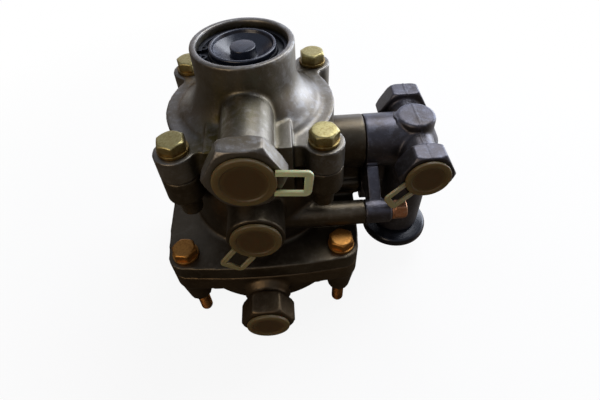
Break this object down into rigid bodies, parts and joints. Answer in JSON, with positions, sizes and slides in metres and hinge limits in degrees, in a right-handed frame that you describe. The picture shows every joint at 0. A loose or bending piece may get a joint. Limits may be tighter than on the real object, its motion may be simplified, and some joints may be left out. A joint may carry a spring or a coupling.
{
  "type": "air brake control valve",
  "caption": "Cast air brake control valve with exhaust neck, capped hexagonal ports, stud mounting and a push-pull release valve on its side.",
  "frame": {"origin": "centre of the stud pattern, in the plane where the stud bosses meet a bracket", "axes": "+Z along the main bore towards the exhaust, -Y towards the front ports, +X towards the release valve"},
  "size_m": [0.1756, 0.1424, 0.1712],
  "materials": {
    "cast_aluminium": "bead-blasted casting, dulled",
    "turned_aluminium": "turned, hard anodised",
    "yellow_zinc": "yellow chromated zinc",
    "orange_zinc": "old yellow chromate, gone orange-brown",
    "spring_steel": "black phosphated spring steel",
    "turned_brass": "turned",
    "black_nylon": "moulded glass-filled nylon",
    "black_rubber": "moulded nitrile rubber",
    "knob_plastic": "moulded, smooth",
    "cap_polyethylene": "translucent yellowish, moulded"
  },
  "bodies": {
    "valve_body": {"upper_housing": "cast_aluminium", "middle_housing": "cast_aluminium", "lower_cover": "cast_aluminium", "side_block": "cast_aluminium", "upper_bolts": "yellow_zinc", "upper_washers": "yellow_zinc", "lower_bolts": "orange_zinc", "lower_washers": "orange_zinc", "side_screws": "orange_zinc", "side_washers": "orange_zinc", "valve_guide": "black_nylon", "exhaust_flap": "black_rubber", "exhaust_circlip": "spring_steel", "valve_spring": "spring_steel", "upper_joint_seal": "black_rubber", "cover_joint_seal": "black_rubber", "guide_seal": "black_rubber", "valve_stem_seal": "black_rubber", "side_joint_seal": "black_rubber", "spool_bush": "black_nylon", "bush_circlip": "spring_steel", "top_port_cap": "cap_polyethylene", "middle_port_cap": "cap_polyethylene", "low_port_cap": "cap_polyethylene", "side_port_cap": "cap_polyethylene"},
    "inlet_valve": {"inlet_valve": "turned_brass", "valve_rubber": "black_rubber"},
    "relay_piston": {"relay_piston": "turned_aluminium", "control_piston_seal": "black_rubber", "delivery_piston_seal": "black_rubber"},
    "release_spool": {"release_spool": "turned_brass", "spool_seals": "black_rubber", "release_knob": "knob_plastic"}
  },
  "joints": [
    {"name": "inlet_lift", "type": "slide", "parent": "valve_body", "child": "inlet_valve", "axis": [0, 0, 1], "range_m": [0, 0.003], "stiffness_N_per_m": 2500, "springref_m": -0.012, "deforming": ["valve_spring"]},
    {"name": "piston_stroke", "type": "slide", "parent": "inlet_valve", "child": "relay_piston", "axis": [0, 0, 1], "range_m": [0, 0.0018]},
    {"name": "knob_pull", "type": "slide", "parent": "valve_body", "child": "release_spool", "axis": [0, 0, -1], "range_m": [0, 0.01]}
  ]
}
